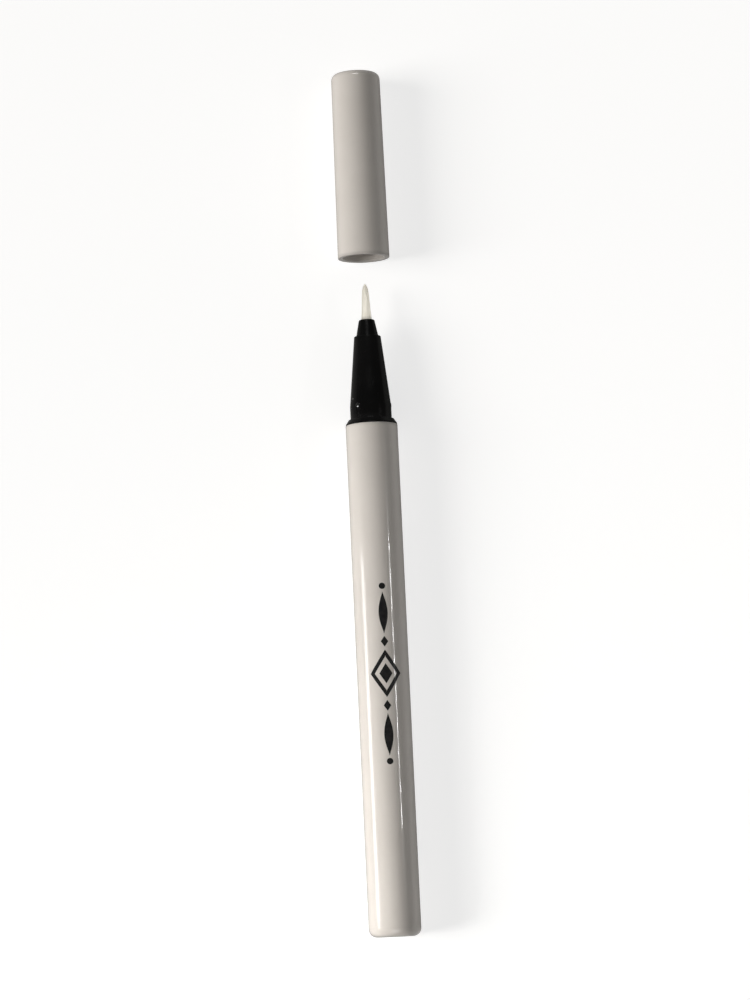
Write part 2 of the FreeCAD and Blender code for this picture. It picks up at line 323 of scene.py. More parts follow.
def cap_outline():
    """The white cap: a tapered cup with a rounded end, a bevelled mouth, a guide bore and a liner seat."""
    return [
        (GUIDE_RADIUS + MOUTH_CHAMFER, CAP_MOUTH, SEAM_ROUND),
        (BARREL_RADIUS, CAP_MOUTH, EDGE_ROUND),
        (CAP_END_RADIUS, CAP_END, END_ROUND),
        *reversed(gate_mark(CAP_END, -GATE_DEPTH)),
        (0, CAP_END - CAP_END_WALL, 0),
        (LINER_RADIUS, CAP_END - CAP_END_WALL, INNER_ROUND),
        (LINER_RADIUS, LINER_RIM, INNER_ROUND),
        (GUIDE_RADIUS, LINER_RIM, INNER_ROUND),
        (GUIDE_RADIUS, CAP_MOUTH + MOUTH_CHAMFER, SEAM_ROUND),
    ]


def liner_outline():
    """The black inner cup, whose flared rim seals on the section's cone."""
    return [
        (0, LINER_END, 0),
        (LINER_RADIUS, LINER_END, INNER_ROUND),
        (LINER_RADIUS, LINER_RIM, INNER_ROUND),
        (LINER_RIM_RADIUS, LINER_RIM, SEAM_ROUND),
        (LINER_BORE_RADIUS, LINER_RIM + LINER_SEAL_LENGTH, INNER_ROUND),
        (LINER_BORE_RADIUS, LINER_END - LINER_END_THICKNESS, INNER_ROUND),
        (0, LINER_END - LINER_END_THICKNESS, 0),
    ]


# Nubs on the cap seat, which the cap clicks over
NUB_COUNT = 3
NUB_TURN = math.radians(-39)
NUB_RADIUS = 0.45
NUB_HEIGHT = 0.06
NUB_STEPS = 24


def click_nubs():
    """Flat ellipsoids half sunk in the section, spaced evenly about the pen's axis.

    Polar angle p and turn t give the offsets: height cos p outwards, radius sin p cos t around and
    radius sin p sin t along. Their centres lie on the surface where the cap seat runs out into the cone.
    """
    polar = np.linspace(0, math.pi, NUB_STEPS // 2 + 1)[1:-1, None]
    turn = np.linspace(0, 2 * math.pi, NUB_STEPS, endpoint=False)
    heights = np.broadcast_to(np.cos(polar), (polar.size, turn.size))
    outward = np.append(heights.ravel(), [1, -1]) * NUB_HEIGHT
    around = np.append((np.sin(polar) * np.cos(turn)).ravel(), [0, 0]) * NUB_RADIUS
    along = np.append((np.sin(polar) * np.sin(turn)).ravel(), [0, 0]) * NUB_RADIUS
    index = np.arange(polar.size * turn.size).reshape(polar.size, turn.size)
    beside = np.roll(index, -1, axis=1)
    quads = np.stack([index[:-1], index[1:], beside[1:], beside[:-1]], axis=-1)
    quads = quads.reshape(-1, 4).tolist()
    top, bottom = np.full(turn.size, index.size), np.full(turn.size, index.size + 1)
    fans = np.stack([top, index[0], beside[0]], axis=-1).tolist()
    fans += np.stack([bottom, beside[-1], index[-1]], axis=-1).tolist()
    nubs = []
    for i in range(NUB_COUNT):
        angle = NUB_TURN + 2 * math.pi * i / NUB_COUNT
        radius = SEAT_RADIUS + outward
        across, up = math.sin(angle), math.cos(angle)
        points = [radius * across + around * up, CONE_REAR + along, radius * up - around * across]
        nubs.append((np.stack(points, axis=-1), quads + fans))
    return joined(*nubs)


# Brush: where its bundle narrows, ahead of the nose
BRUSH_LENGTH = BRUSH_POINT - HOLDER_FRONT
BUNDLE_STATIONS = (-2.0, -0.2, 0.0, 1.5, 4.1, 7.1)
BUNDLE_RADII = (1.0, 1.02, 1.04, 0.89, 0.74, 0.52)
BUNDLE_END = 1.6
BUNDLE_END_POWER = 0.7

# Filaments: each layer's count, its depth in the bundle and the share that its shortest filament has
FILAMENT_LAYERS = ((62, 0.0, 0.8), (46, 0.12, 0.9))
FILAMENT_ROOT = -0.7
FILAMENT_SCATTER = 0.2
FILAMENT_SWAY = 0.05
FILAMENT_OVERLAP = 1.15
LENGTH_POWER = 3
CLOSED_SHARE = 0.992
RUN_OUT_SHARE = 0.2
FINEST_SHARE = 0.12
THREAD_SIDES = 5
THREAD_STATIONS = np.array([0, 0.16, 0.34, 0.5, 0.64, 0.76, 0.86, 0.94, 0.975, 1.0])

# Fused middle of the brush
CORE_START = 0.05
CORE_END_SHARE = 0.97
CORE_ROWS = 22
CORE_SHARE = 0.8
CORE_ROOT_SETBACK = 1.0
CORE_POINT_SETBACK = 0.1


def bundle_radius(ahead):
    """Radius of the brush at a distance ahead of the nose: a steady taper that ends in a soft point."""
    taper = np.interp(ahead, BUNDLE_STATIONS, BUNDLE_RADII)
    into_end = np.clip((ahead - (BRUSH_LENGTH - BUNDLE_END)) / BUNDLE_END, 0, 1)
    return taper * (1 - into_end**2) ** BUNDLE_END_POWER


def filament_layer(count, depth, shortest):
    """One layer of filaments, each a slim tube of five sides that closes in a point.

    At each station the centre of a filament lies at the bundle's radius times (1 - depth), less its own
    radius, and keeps its angle but for a slow sway. Its radius follows the bundle's, and runs out over its
    last fifth.
    """
    scatter = RANDOM.uniform(-FILAMENT_SCATTER, FILAMENT_SCATTER, count)
    angle = (np.arange(count) + scatter) * 2 * math.pi / count
    reach = BRUSH_LENGTH * (1 - (1 - shortest) * RANDOM.uniform(0, 1, count) ** LENGTH_POWER)
    sway = RANDOM.normal(0, FILAMENT_SWAY, count)
    ahead = FILAMENT_ROOT + (reach - FILAMENT_ROOT)[:, None] * THREAD_STATIONS
    bundle = bundle_radius(np.minimum(ahead, BRUSH_LENGTH * CLOSED_SHARE)) * (1 - depth)
    run_out = np.sqrt(np.clip((1 - THREAD_STATIONS) / RUN_OUT_SHARE, 0, 1))
    thickness = bundle * math.pi / count * FILAMENT_OVERLAP * np.maximum(run_out, FINEST_SHARE)
    turn = angle[:, None] + sway[:, None] * THREAD_STATIONS**2
    centre = np.maximum(bundle - thickness, 0)
    sides = np.linspace(0, 2 * math.pi, THREAD_SIDES, endpoint=False)
    outward = centre[..., None] + thickness[..., None] * np.cos(sides)
    around = thickness[..., None] * np.sin(sides)
    turn = turn[..., None]
    station = np.broadcast_to(HOLDER_FRONT + ahead[..., None], outward.shape)
    points = np.stack(
        [
            outward * np.sin(turn) + around * np.cos(turn),
            station,
            outward * np.cos(turn) - around * np.sin(turn),
        ],
        axis=-1,
    )
    rings = points[:, :-1].reshape(-1, 3)
    tips = points[:, -1].mean(axis=1)
    index = np.arange(len(rings)).reshape(count, -1, THREAD_SIDES)
    beside = np.roll(index, -1, axis=2)
    quads = np.stack([index[:, :-1], index[:, 1:], beside[:, 1:], beside[:, :-1]], axis=-1)
    tip_index = np.broadcast_to((len(rings) + np.arange(count))[:, None], (count, THREAD_SIDES))
    fans = np.stack([index[:, -1], tip_index, beside[:, -1]], axis=-1)
    root_ends = index[:, 0]
    faces = quads.reshape(-1, 4).tolist() + fans.reshape(-1, 3).tolist() + root_ends.tolist()
    return np.vstack([rings, tips]), faces


def joined(*shapes):
    """Several shapes as one: their points in a row, and their faces moved on by the points before them."""
    starts = np.cumsum([0] + [len(points) for points, _ in shapes[:-1]]).tolist()
    faces = []
    for start, (_, shape_faces) in zip(starts, shapes):
        faces += [[i + start for i in face] for face in shape_faces]
    return np.vstack([points for points, _ in shapes]), faces


def brush_core_outline():
    """The fused middle of the brush: a flange behind the nose, a root in its bore and a slim core."""
    ahead = np.linspace(CORE_START, BRUSH_LENGTH * CORE_END_SHARE, CORE_ROWS)
    radii = (bundle_radius(ahead) * CORE_SHARE).tolist()
    core = [(radius, HOLDER_FRONT + distance, 0) for radius, distance in zip(radii, ahead.tolist())]
    return [
        (0, BRUSH_REAR, 0),
        (BRUSH_FLANGE_RADIUS, BRUSH_REAR, SEAM_ROUND),
        (BRUSH_FLANGE_RADIUS, HOLDER_REAR, SEAM_ROUND),
        (BRUSH_ROOT_RADIUS, HOLDER_REAR, INNER_ROUND),
        (BRUSH_ROOT_RADIUS, HOLDER_FRONT - CORE_ROOT_SETBACK, INNER_ROUND),
        *core,
        (0, BRUSH_POINT - CORE_POINT_SETBACK, 0),
    ]


# Print on the barrel
PRINT_MIDDLE = 49.7
PRINT_TURN = math.radians(6)
INK_HEIGHT = 0.012
INK_DEPTH = 0.02
PATCH_ALONG = np.sin(np.linspace(-0.5, 0.5, 33) * math.pi)
PATCH_ACROSS = np.concatenate([[0], np.linspace(0.04, 0.96, 13), [1]])


def ink_patches(middles, half_lengths, shares, lower, upper, turn):
    """Patches of ink bent round the barrel.

    At share s along a patch, y is its middle plus s half lengths. Across it, the arc length from the
    print's centre line runs from lower(s) to upper(s), and divided by the radius it is the angle about the
    pen's axis.
    """
    radius = BARREL_RADIUS + INK_HEIGHT
    middles, half_lengths = np.asarray(middles), np.asarray(half_lengths)
    along = middles[:, None, None] + half_lengths[:, None, None] * shares[None, :, None]
    arc = lower[..., None] + (upper - lower)[..., None] * PATCH_ACROSS
    angle = turn + arc / radius
    stations = np.broadcast_to(along, angle.shape)
    points = np.stack([radius * np.sin(angle), stations, radius * np.cos(angle)], axis=-1)
    index = np.arange(angle.size).reshape(angle.shape)
    corners = [index[:, :-1, :-1], index[:, :-1, 1:], index[:, 1:, 1:], index[:, 1:, :-1]]
    return points.reshape(-1, 3), np.stack(corners, axis=-1).reshape(-1, 4).tolist()


# Ornament: a lozenge between marks, each given by its place, half length and half width
LOZENGE_HALF_LENGTH = 4.5
LOZENGE_HALF_WIDTH = 3.0
LOZENGE_LINE = 0.85
LOZENGE_HEART = (0, 1.9, 1.25)
SMALL_LOZENGE = (6.1, 1.0, 0.7)
SWELLED_RULE = (11.6, 4.0, 0.85)
BEAD = (16.7, 0.6, 0.6)
SWELL_POWER = 1.3
HAIRLINE = 0.015


def ornament():
    """The printer's ornament, as bands whose edges are functions of the share s from the band's middle.

    A lozenge narrows as 1 - |s|, a swelled rule as 1 - s squared to a power, and a bead as the root of
    1 - s squared. The open lozenge is two bands, each from its inner edge to its outer edge.
    """
    s = PATCH_ALONG
    lozenge = 1 - np.abs(s)
    swell = (1 - s**2) ** SWELL_POWER
    round_bead = np.sqrt(1 - s**2)
    outer = LOZENGE_HALF_WIDTH * lozenge + HAIRLINE
    inner = np.maximum(outer - LOZENGE_LINE, 0)
    bands = [(0, LOZENGE_HALF_LENGTH, inner, outer), (0, LOZENGE_HALF_LENGTH, -outer, -inner)]
    solid = [(1, LOZENGE_HEART, lozenge)]
    for side in (-1, 1):
        solid += [(side, SMALL_LOZENGE, lozenge), (side, SWELLED_RULE, swell), (side, BEAD, round_bead)]
    for side, (place, half_length, widest), form in solid:
        edge = widest * form
        bands.append((side * place, half_length, -edge - HAIRLINE, edge + HAIRLINE))
    middles, half_lengths, lower, upper = zip(*bands)
    middles = np.array(middles) + PRINT_MIDDLE
    return ink_patches(middles, half_lengths, s, np.array(lower), np.array(upper), PRINT_TURN)


# Plain rules in place of small print, in lines along the pen; a bold rule is (middle, half length)
SMALL_RULES_TURN = math.radians(148)
SMALL_RULES_REAR = 14.0
SMALL_RULES_FRONT = 83.0
SMALL_RULE_LINES = 4
SMALL_RULE_PITCH = 1.1
SMALL_RULE_DRAWS = 24
SMALL_RULE_SHORTEST = 1.1
SMALL_RULE_LONGEST = 5.2
SMALL_RULE_GAP = 0.75
SMALL_RULE_HALF_HEIGHT = 0.2
BOLD_RULES = ((20.0, 4.2), (29.0, 1.9), (42.5, 5.4), (56.0, 3.6), (63.5, 1.5), (77.0, 5.0))
BOLD_RULE_HALF_HEIGHT = 0.34
BOLD_RULE_GAP = 0.35
RULE_SHARES = np.linspace(-1, 1, 9)
RULE_END_POWER = 8
RULE_END_HEIGHT = 0.02


def small_rules():
    """Four lines of short plain rules along the pen, and a fifth of a few thicker ones.

    Each rule's length is drawn at random, and a line ends where the block does. A rule keeps its height
    but for its rounded ends, where it falls as the root of 1 - s to the eighth power.
    """
    fall = np.sqrt(1 - np.abs(RULE_SHARES) ** RULE_END_POWER)
    rounded = fall * (1 - RULE_END_HEIGHT) + RULE_END_HEIGHT
    draws = (SMALL_RULE_LINES, SMALL_RULE_DRAWS)
    lengths = RANDOM.uniform(SMALL_RULE_SHORTEST, SMALL_RULE_LONGEST, draws)
    ends = np.cumsum(lengths + SMALL_RULE_GAP, axis=1) + SMALL_RULES_REAR
    kept = ends < SMALL_RULES_FRONT
    line = np.broadcast_to(np.arange(SMALL_RULE_LINES)[:, None], lengths.shape)[kept]
    middles = (ends - SMALL_RULE_GAP - lengths / 2)[kept]
    half_lengths = lengths[kept] / 2
    bold_middles, bold_half_lengths = np.array(BOLD_RULES).T
    block = SMALL_RULE_LINES * SMALL_RULE_PITCH
    bold_offset = np.full(bold_middles.size, block + BOLD_RULE_GAP)
    offset = np.concatenate([line * SMALL_RULE_PITCH, bold_offset])[:, None] - block / 2
    small_height = np.full(middles.size, SMALL_RULE_HALF_HEIGHT)
    bold_height = np.full(bold_middles.size, BOLD_RULE_HALF_HEIGHT)
    edge = np.concatenate([small_height, bold_height])[:, None] * rounded
    middles = np.concatenate([middles, bold_middles])
    half_lengths = np.concatenate([half_lengths, bold_half_lengths])
    return ink_patches(middles, half_lengths, RULE_SHARES, offset - edge, offset + edge, SMALL_RULES_TURN)


def add_node(tree, kind, sockets=(), **properties):
    """Adds a shader node, with its properties and the values of its unlinked sockets."""
    node = tree.nodes.new(kind)
    for name, value in properties.items():
        setattr(node, name, value)
    for key, value in dict(sockets).items():
        if isinstance(value, bpy.types.NodeSocket):
            tree.links.new(value, node.inputs[key])
        else:
            node.inputs[key].default_value = value
    return node


def math_node(tree, operation, *values):
    """The result of a Math node on two or three values, each a number or a socket."""
    return add_node(tree, "ShaderNodeMath", dict(enumerate(values)), operation=operation).outputs[0]


def smooth_step(tree, value, low, high):
    """Zero below low, one above high and a smooth rise between."""
    sockets = {"Value": value, "From Min": low, "From Max": high}
    return add_node(tree, "ShaderNodeMapRange", sockets, interpolation_type="SMOOTHSTEP").outputs["Result"]


def noise(tree, vector, scale, detail=3.0, roughness=0.5):
    """A noise value that changes over the surface."""
    sockets = {"Vector": vector, "Scale": scale, "Detail": detail, "Roughness": roughness}
    return add_node(tree, "ShaderNodeTexNoise", sockets).outputs[0]


def stretched(tree, vector, scale, turn=(0, 0, 0)):
    """Coordinates scaled by different amounts along their axes, after a turn."""
    turned_first = add_node(tree, "ShaderNodeMapping", {"Vector": vector, "Rotation": turn}).outputs[0]
    return add_node(tree, "ShaderNodeMapping", {"Vector": turned_first, "Scale": scale}).outputs[0]


def effect(name, inputs, outputs):
    """A new shader node group with named sockets, and the nodes at its two ends."""
    tree = bpy.data.node_groups.new(name, "ShaderNodeTree")
    for label, kind, value in inputs:
        socket = tree.interface.new_socket(label, in_out="INPUT", socket_type="NodeSocket" + kind)
        if value is not None:
            socket.default_value = value
    for label in outputs:
        tree.interface.new_socket(label, in_out="OUTPUT", socket_type="NodeSocketFloat")
    return tree, tree.nodes.new("NodeGroupInput").outputs, tree.nodes.new("NodeGroupOutput").inputs


# Effects: scales, turns and edges that their inputs don't set
NOISE_MIDDLE = (0.3, 0.7)
BROAD_PEEL_SHARE = 0.18
BROAD_PEEL_HEIGHT = 2.0
SMUDGE_EDGE = (0.46, 0.72)
ALONG_SCUFF_SCALE = (5200, 90, 5200)
ALONG_SCUFF_TURN = (0.05, 0.0, 0.12)
ALONG_SCUFF_EDGE = (0.71, 0.76)
ACROSS_SCUFF_SCALE = (240, 7000, 240)
ACROSS_SCUFF_TURN = (0.1, 0.2, -0.5)
ACROSS_SCUFF_EDGE = (0.73, 0.78)
SCUFF_PATCH_SCALE = 160.0
SCUFF_PATCH_EDGE = (0.45, 0.6)
USUAL_SCUFF_DENSITY = 0.5
SPECK_EDGE = (0.06, 0.2)
FINE_STREAK_SCALE = (9000, 260, 9000)
BROAD_STREAK_SCALE = (2600, 160, 2600)


def moulded_skin_effect():
    """The skin of moulded plastic: a slow change of tone, and the fine peel of its surface as a height."""
    inputs = [("Vector", "Vector", None), ("Tone Scale", "Float", 140.0), ("Peel Scale", "Float", 1800.0)]
    tree, given, result = effect("moulded_skin", inputs, ["Tone", "Peel"])
    tone = noise(tree, given["Vector"], given["Tone Scale"], detail=5.0, roughness=0.55)
    fine = noise(tree, given["Vector"], given["Peel Scale"], detail=2.0)
    broad_scale = math_node(tree, "MULTIPLY", given["Peel Scale"], BROAD_PEEL_SHARE)
    broad = noise(tree, given["Vector"], broad_scale, detail=1.0)
    tree.links.new(smooth_step(tree, tone, *NOISE_MIDDLE), result["Tone"])
    tree.links.new(math_node(tree, "MULTIPLY_ADD", broad, BROAD_PEEL_HEIGHT, fine), result["Peel"])
    return tree


def handling_marks_effect():
    """Marks of use: soft smudges where fingers held the pen, and sparse scuffs along and across it."""
    inputs = [
        ("Vector", "Vector", None),
        ("Smudge Scale", "Float", 110.0),
        ("Scuff Density", "Float", USUAL_SCUFF_DENSITY),
    ]
    tree, given, result = effect("handling_marks", inputs, ["Smudge", "Scuff"])
    vector = given["Vector"]
    smudge = noise(tree, vector, given["Smudge Scale"], detail=4.0, roughness=0.6)
    tree.links.new(smooth_step(tree, smudge, *SMUDGE_EDGE), result["Smudge"])
    along = noise(tree, stretched(tree, vector, ALONG_SCUFF_SCALE, ALONG_SCUFF_TURN), 1.0, detail=1.0)
    along = smooth_step(tree, along, *ALONG_SCUFF_EDGE)
    across = noise(tree, stretched(tree, vector, ACROSS_SCUFF_SCALE, ACROSS_SCUFF_TURN), 1.0, detail=1.0)
    across = smooth_step(tree, across, *ACROSS_SCUFF_EDGE)
    lines = math_node(tree, "MAXIMUM", along, across)
    patchy = noise(tree, vector, SCUFF_PATCH_SCALE, detail=2.0)
    denser = math_node(tree, "SUBTRACT", given["Scuff Density"], USUAL_SCUFF_DENSITY)
    patches = smooth_step(tree, math_node(tree, "ADD", patchy, denser), *SCUFF_PATCH_EDGE)
    tree.links.new(math_node(tree, "MULTIPLY", lines, patches), result["Scuff"])
    return tree


def ring_band_effect():
    """A soft band round the pen: one at its centre station, and zero beyond its half width."""
    inputs = [("Vector", "Vector", None), ("Centre", "Float", 0.0), ("Half Width", "Float", 0.001)]
    tree, given, result = effect("ring_band", inputs, ["Band"])
    along = add_node(tree, "ShaderNodeSeparateXYZ", {0: given["Vector"]}).outputs["Y"]
    away = math_node(tree, "ABSOLUTE", math_node(tree, "SUBTRACT", along, given["Centre"]))
    share = math_node(tree, "DIVIDE", away, given["Half Width"])
    tree.links.new(math_node(tree, "SUBTRACT", 1.0, smooth_step(tree, share, 0.0, 1.0)), result["Band"])
    return tree


def dust_effect():
    """Sparse specks of dust: the places near a cell's centre, in the few cells with a low random value."""
    inputs = [("Vector", "Vector", None), ("Cell Scale", "Float", 900.0), ("Share", "Float", 0.1)]
    tree, given, result = effect("dust_specks", inputs, ["Specks"])
    sockets = {"Vector": given["Vector"], "Scale": given["Cell Scale"]}
    cells = add_node(tree, "ShaderNodeTexVoronoi", sockets)
    chance = add_node(tree, "ShaderNodeSeparateColor", {0: cells.outputs["Color"]}).outputs[0]
    chosen = math_node(tree, "LESS_THAN", chance, given["Share"])
    near = math_node(tree, "SUBTRACT", 1.0, smooth_step(tree, cells.outputs["Distance"], *SPECK_EDGE))
    tree.links.new(math_node(tree, "MULTIPLY", chosen, near), result["Specks"])
    return tree


def fibre_streak_effect():
    """Streaks that run along the pen, such as those of drawn filaments or bonded fibre."""
    inputs = [("Vector", "Vector", None), ("Streaks", "Float", 1.0)]
    tree, given, result = effect("fibre_streak", inputs, ["Streak", "Ridge"])
    sockets = {0: given["Vector"], "Scale": given["Streaks"]}
    scaled = add_node(tree, "ShaderNodeVectorMath", sockets, operation="SCALE").outputs[0]
    fine = noise(tree, stretched(tree, scaled, FINE_STREAK_SCALE), 1.0, detail=3.0, roughness=0.6)
    broad = noise(tree, stretched(tree, scaled, BROAD_STREAK_SCALE), 1.0, detail=2.0)
    tree.links.new(smooth_step(tree, broad, *NOISE_MIDDLE), result["Streak"])
    tree.links.new(fine, result["Ridge"])
    return tree


MOULDED_SKIN = moulded_skin_effect()
HANDLING_MARKS = handling_marks_effect()
RING_BAND = ring_band_effect()
DUST = dust_effect()
FIBRE_STREAK = fibre_streak_effect()


def place_effect(tree, group, **values):
    """Places an effect in a material, with its own values, and gives its outputs."""
    sockets = {key.replace("_", " ").title(): value for key, value in values.items()}
    return add_node(tree, "ShaderNodeGroup", sockets, node_tree=group).outputs


def colour_mix(tree, factor, first, second):
    """A colour between two colours, each a triple or a socket."""
    node = add_node(tree, "ShaderNodeMix", {0: factor}, data_type="RGBA")
    for place, value in ((6, first), (7, second)):
        if isinstance(value, bpy.types.NodeSocket):
            tree.links.new(value, node.inputs[place])
        else:
            node.inputs[place].default_value = (*value, 1)
    return node.outputs[2]


def new_finish(name, constants):
    """A material with a Principled shader, its plain values set on it, and the Object coordinates."""
    material = bpy.data.materials.new(name)
    material.use_nodes = True
    tree = material.node_tree
    shader = tree.nodes["Principled BSDF"]
    for socket, value in constants.items():
        shader.inputs[socket].default_value = value
    return material, tree, shader, tree.nodes.new("ShaderNodeTexCoord").outputs["Object"]


def bump(tree, shader, height, distance, strength):
    """A height in shares of a distance in millimetres, as the shader's normal."""
    sockets = {"Height": height, "Distance": distance * MM, "Strength": strength}
    tree.links.new(add_node(tree, "ShaderNodeBump", sockets).outputs[0], shader.inputs["Normal"])


def ring_band(tree, place, station, half_width_mm):
    """A soft band round the pen at a station, in millimetres."""
    values = {"centre": station * MM, "half_width": half_width_mm * MM}
    return place_effect(tree, RING_BAND, vector=place, **values)["Band"]


# Finishes: how far grime, dust, scuffs, streaks and pinholes act
DARK_LIMIT = 0.1
GRIME_ON_LIGHT = 0.62
GRIME_ON_DARK = 2.5
GRIME_LEAST = 0.3
GRIME_UNEVEN = 0.5
DUST_COLOUR = (0.35, 0.34, 0.32)
DUST_COVER = 0.5
DUST_ROUGHNESS = 0.4
SCUFF_HEIGHT = -1.5
PEEL_STRENGTH = 0.5
FIBRE_STAIN = 0.25
ROOT_SHADE = 0.45
ROOT_COVER = 0.6
STREAK_ROUGHNESS = 0.15
RIDGE_STRENGTH = 0.6
INK_TONES = ((0.006, 0.006, 0.007), (0.018, 0.017, 0.017))
INK_ROUGHNESS = 0.32
INK_UNEVEN = 0.15
PINHOLE_COLOUR = (0.3, 0.29, 0.27)
PINHOLE_COVER = 0.5
STEEL_TONES = ((0.6, 0.6, 0.62), (0.74, 0.74, 0.75))
STEEL_ROUGHNESS = 0.12
STEEL_SCUFF = 0.25


def moulded_finish(name, light, shade, gloss, smudge, scuff, peel, seams=(), dust=0.0, **constants):
    """Moulded or lacquered plastic.

    It has two close tones, smudges and scuffs in its gloss, its peel as bump, and grime at its seams.
    """
    material, tree, shader, place = new_finish(name, constants)
    skin = place_effect(tree, MOULDED_SKIN, vector=place)
    marks = place_effect(tree, HANDLING_MARKS, vector=place)
    colour = colour_mix(tree, skin["Tone"], shade, light)
    grime = tuple(GRIME_ON_LIGHT * c for c in shade)
    if shade[0] < DARK_LIMIT:
        grime = tuple(GRIME_ON_DARK * c for c in light)
    for station, width in seams:
        uneven = math_node(tree, "MULTIPLY_ADD", skin["Tone"], GRIME_UNEVEN, GRIME_LEAST)
        cover = math_node(tree, "MULTIPLY", ring_band(tree, place, station, width), uneven)
        colour = colour_mix(tree, cover, colour, grime)
    rough = math_node(tree, "MULTIPLY_ADD", marks["Smudge"], smudge, gloss)
    rough = math_node(tree, "MULTIPLY_ADD", marks["Scuff"], scuff, rough)
    if dust:
        specks = place_effect(tree, DUST, vector=place, share=dust)["Specks"]
        colour = colour_mix(tree, math_node(tree, "MULTIPLY", specks, DUST_COVER), colour, DUST_COLOUR)
        rough = math_node(tree, "MULTIPLY_ADD", specks, DUST_ROUGHNESS, rough)
    tree.links.new(colour, shader.inputs["Base Color"])
    tree.links.new(rough, shader.inputs["Roughness"])
    height = math_node(tree, "MULTIPLY_ADD", marks["Scuff"], SCUFF_HEIGHT, skin["Peel"])
    bump(tree, shader, height, peel, PEEL_STRENGTH)
    return material


def fibrous_finish(name, light, shade, gloss, streaks, ridge, root=None, **constants):
    """Filaments or bonded fibre.

    It has streaks in its tone and gloss, its ridges as bump, and a darker root where it is held.
    """
    material, tree, shader, place = new_finish(name, constants)
    fibre = place_effect(tree, FIBRE_STREAK, vector=place, streaks=streaks)
    skin = place_effect(tree, MOULDED_SKIN, vector=place, tone_scale=900.0)
    colour = colour_mix(tree, fibre["Streak"], shade, light)
    colour = colour_mix(tree, math_node(tree, "MULTIPLY", skin["Tone"], FIBRE_STAIN), colour, shade)
    if root:
        cover = math_node(tree, "MULTIPLY", ring_band(tree, place, *root), ROOT_COVER)
        colour = colour_mix(tree, cover, colour, tuple(ROOT_SHADE * c for c in shade))
    rough = math_node(tree, "MULTIPLY_ADD", fibre["Streak"], STREAK_ROUGHNESS, gloss)
    tree.links.new(colour, shader.inputs["Base Color"])
    tree.links.new(rough, shader.inputs["Roughness"])
    bump(tree, shader, fibre["Ridge"], ridge, RIDGE_STRENGTH)
    return material


def print_ink():
    """Black pad-printed ink: faintly uneven where it is thin, and worn through in pinholes."""
    material, tree, shader, place = new_finish("print_ink", {"Specular IOR Level": 0.35})
    skin = place_effect(tree, MOULDED_SKIN, vector=place, tone_scale=1500.0)
    pinholes = place_effect(tree, DUST, vector=place, cell_scale=3200.0, share=0.06)["Specks"]
    colour = colour_mix(tree, skin["Tone"], *INK_TONES)
    cover = math_node(tree, "MULTIPLY", pinholes, PINHOLE_COVER)
    colour = colour_mix(tree, cover, colour, PINHOLE_COLOUR)
    rough = math_node(tree, "MULTIPLY_ADD", skin["Tone"], INK_UNEVEN, INK_ROUGHNESS)
    tree.links.new(colour, shader.inputs["Base Color"])
    tree.links.new(rough, shader.inputs["Roughness"])
    bump(tree, shader, skin["Peel"], distance=0.002, strength=0.4)
    return material


def ball_finish():
    """Polished steel with a faint cloud in its tone and fine scuffs."""
    material, tree, shader, place = new_finish("ball_finish", {"Metallic": 1.0})
    skin = place_effect(tree, MOULDED_SKIN, vector=place, tone_scale=1200.0)
    marks = place_effect(tree, HANDLING_MARKS, vector=place, scuff_density=0.7)
    rough = math_node(tree, "MULTIPLY_ADD", marks["Scuff"], STEEL_SCUFF, STEEL_ROUGHNESS)
    tree.links.new(colour_mix(tree, skin["Tone"], *STEEL_TONES), shader.inputs["Base Color"])
    tree.links.new(rough, shader.inputs["Roughness"])
    bump(tree, shader, marks["Scuff"], distance=0.001, strength=0.3)
    return material


WHITE_COAT = {"Coat Weight": 0.8, "Coat Roughness": 0.04, "Specular IOR Level": 0.2}
BLACK_TONES = {"light": (0.0045, 0.0045, 0.0046), "shade": (0.0025, 0.0025, 0.0026)}
BARREL_WHITE = moulded_finish(
    "barrel_white", light=(0.835, 0.791, 0.751), shade=(0.808, 0.764, 0.724),
    gloss=0.16, smudge=0.05, scuff=0.1, peel=0.006, seams=[(BARREL_FRONT, 0.7)], **WHITE_COAT,
)
CAP_WHITE = moulded_finish(
    "cap_white", light=(0.825, 0.781, 0.741), shade=(0.798, 0.754, 0.714),
    gloss=0.2, smudge=0.05, scuff=0.08, peel=0.007, seams=[(CAP_MOUTH, 0.9)], **WHITE_COAT,
)
SLEEVE_BLACK = moulded_finish(
    "sleeve_black", **BLACK_TONES, gloss=0.12, smudge=0.14, scuff=0.2, peel=0.004,
    seams=[(COLLAR_FRONT + 0.3, 0.8)], dust=0.03, **{"Specular IOR Level": 0.2},
)
NUB_BLACK = moulded_finish(
    "nub_black", **BLACK_TONES, gloss=0.05, smudge=0.02, scuff=0.05, peel=0.001,
    **{"Specular IOR Level": 1.0, "Coat Weight": 1.0, "Coat Roughness": 0.03},
)
LINER_BLACK = moulded_finish(
    "liner_black", light=(0.012, 0.012, 0.0125), shade=(0.006, 0.006, 0.0065),
    gloss=0.32, smudge=0.1, scuff=0.15, peel=0.006, seams=[(LINER_RIM, 0.6)],
)
TANK_MILKY = moulded_finish(
    "tank_milky", light=(0.78, 0.8, 0.8), shade=(0.68, 0.7, 0.71),
    gloss=0.28, smudge=0.1, scuff=0.1, peel=0.006, **{"Transmission Weight": 0.35, "IOR": 1.5},
)
STOPPER_SOFT = moulded_finish(
    "stopper_soft", light=(0.72, 0.72, 0.7), shade=(0.58, 0.58, 0.56),
    gloss=0.62, smudge=0.15, scuff=0.1, peel=0.015,
)
FEED_BLACK = moulded_finish(
    "feed_black", light=(0.055, 0.055, 0.06), shade=(0.035, 0.035, 0.04),
    gloss=0.42, smudge=0.14, scuff=0.12, peel=0.008,
)
